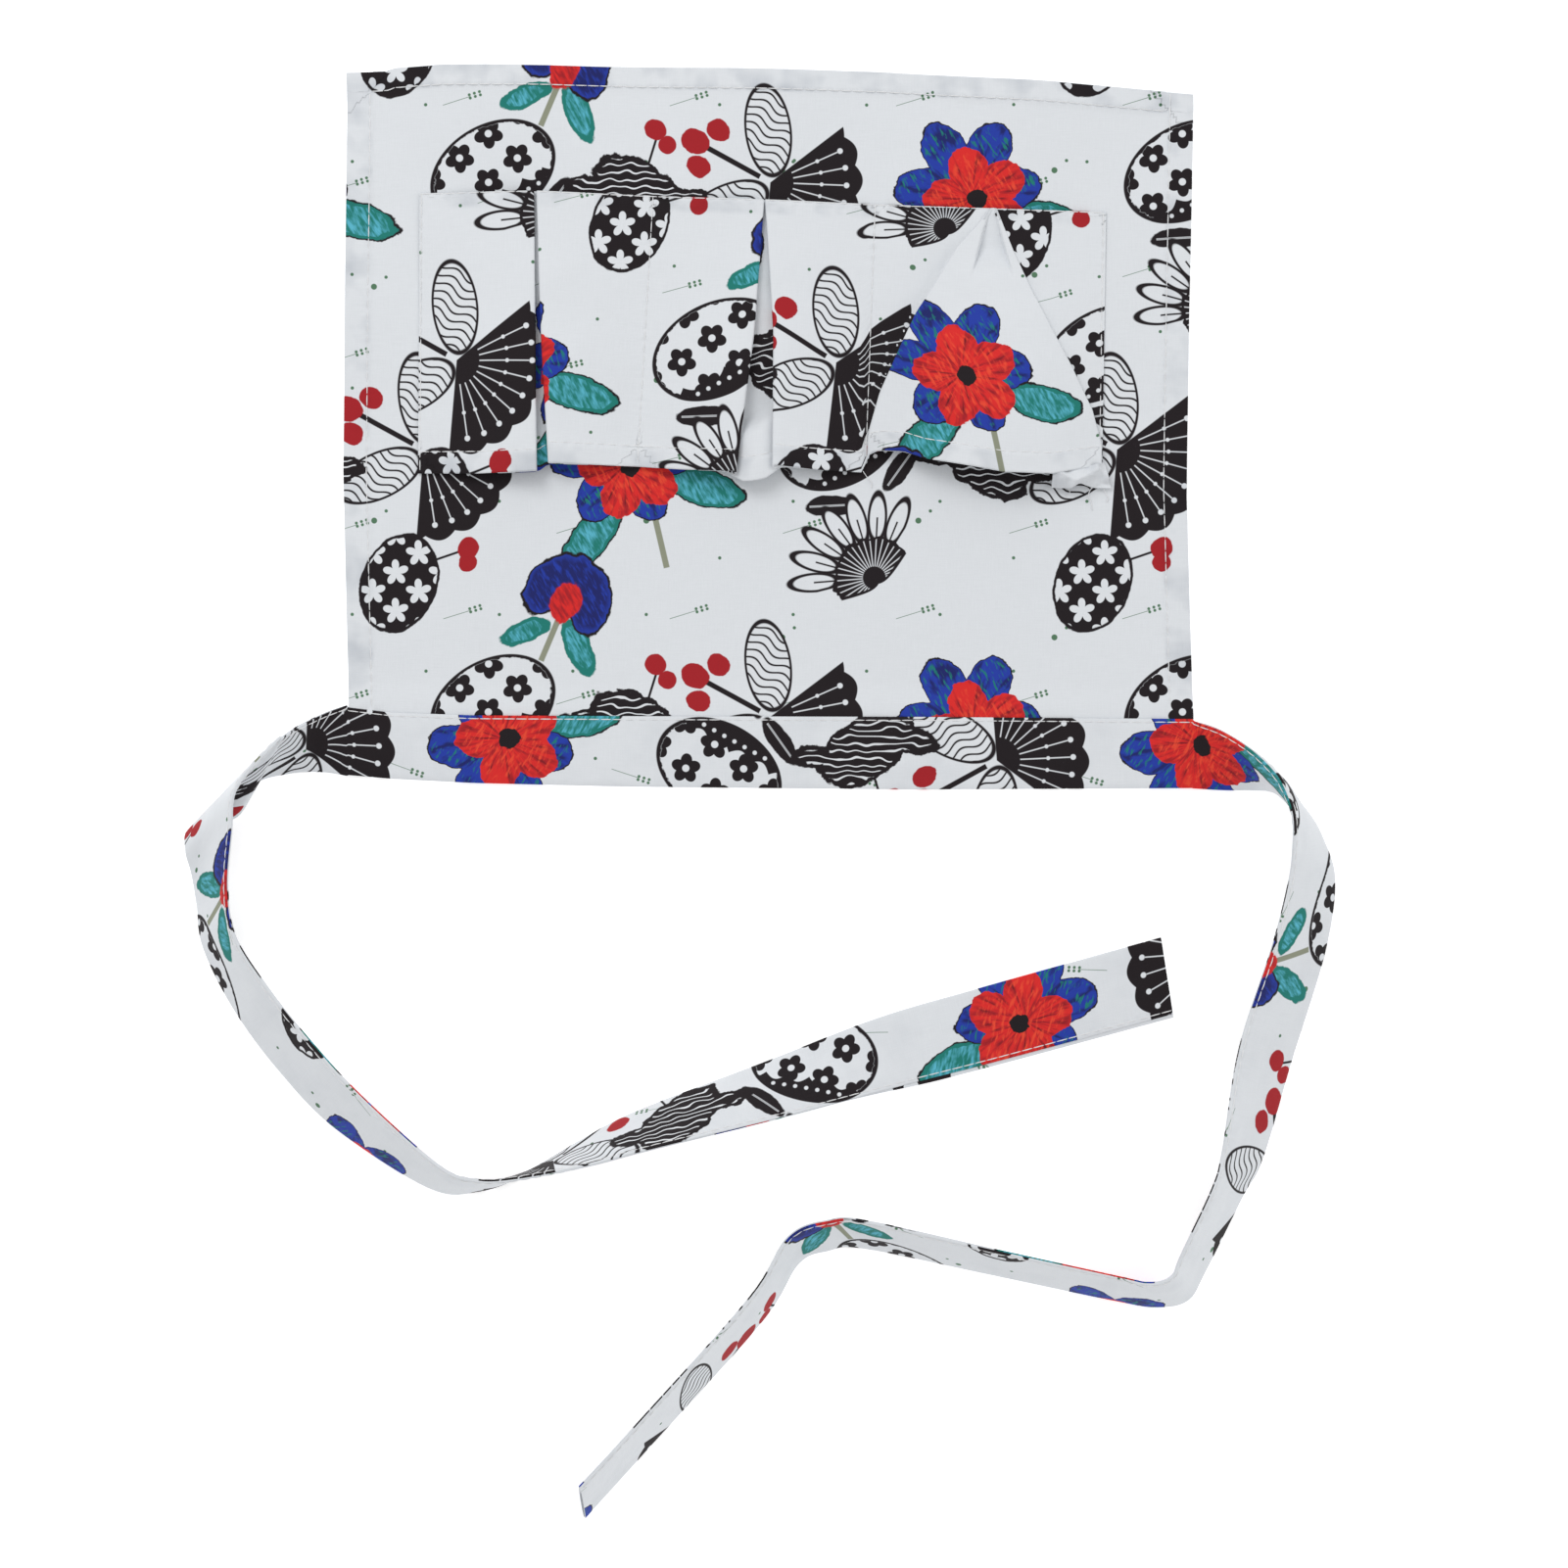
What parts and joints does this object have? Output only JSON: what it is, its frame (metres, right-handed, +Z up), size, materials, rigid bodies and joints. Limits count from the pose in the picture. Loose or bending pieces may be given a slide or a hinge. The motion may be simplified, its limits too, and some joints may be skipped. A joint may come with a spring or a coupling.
{
  "type": "egg gathering apron",
  "caption": "Small half apron of printed cloth with a strip of pleated egg pockets, a folded waistband and two free ties, lying flat.",
  "frame": {"origin": "middle of the bottom of the whole apron's box, on the surface that it lies on", "axes": "+Y from the ties to the hem, along the wearer's front downwards; +X across the apron; +Z up from the surface, out of the printed face"},
  "size_m": [0.4776, 0.6022, 0.0306],
  "materials": {
    "panel_cloth": "matt printed plain weave, white with dark, blue and red motifs",
    "pocket_cloth": "matt printed plain weave, white with dark, blue and red motifs",
    "strip_cloth": "matt printed plain weave, folded double and edge stitched",
    "thread": "white sewing thread"
  },
  "bodies": {
    "root": {"body_panel": "panel_cloth", "pocket_strip": "pocket_cloth", "waistband": "strip_cloth", "tie_left": "strip_cloth", "tie_right": "strip_cloth"}
  },
  "joints": []
}
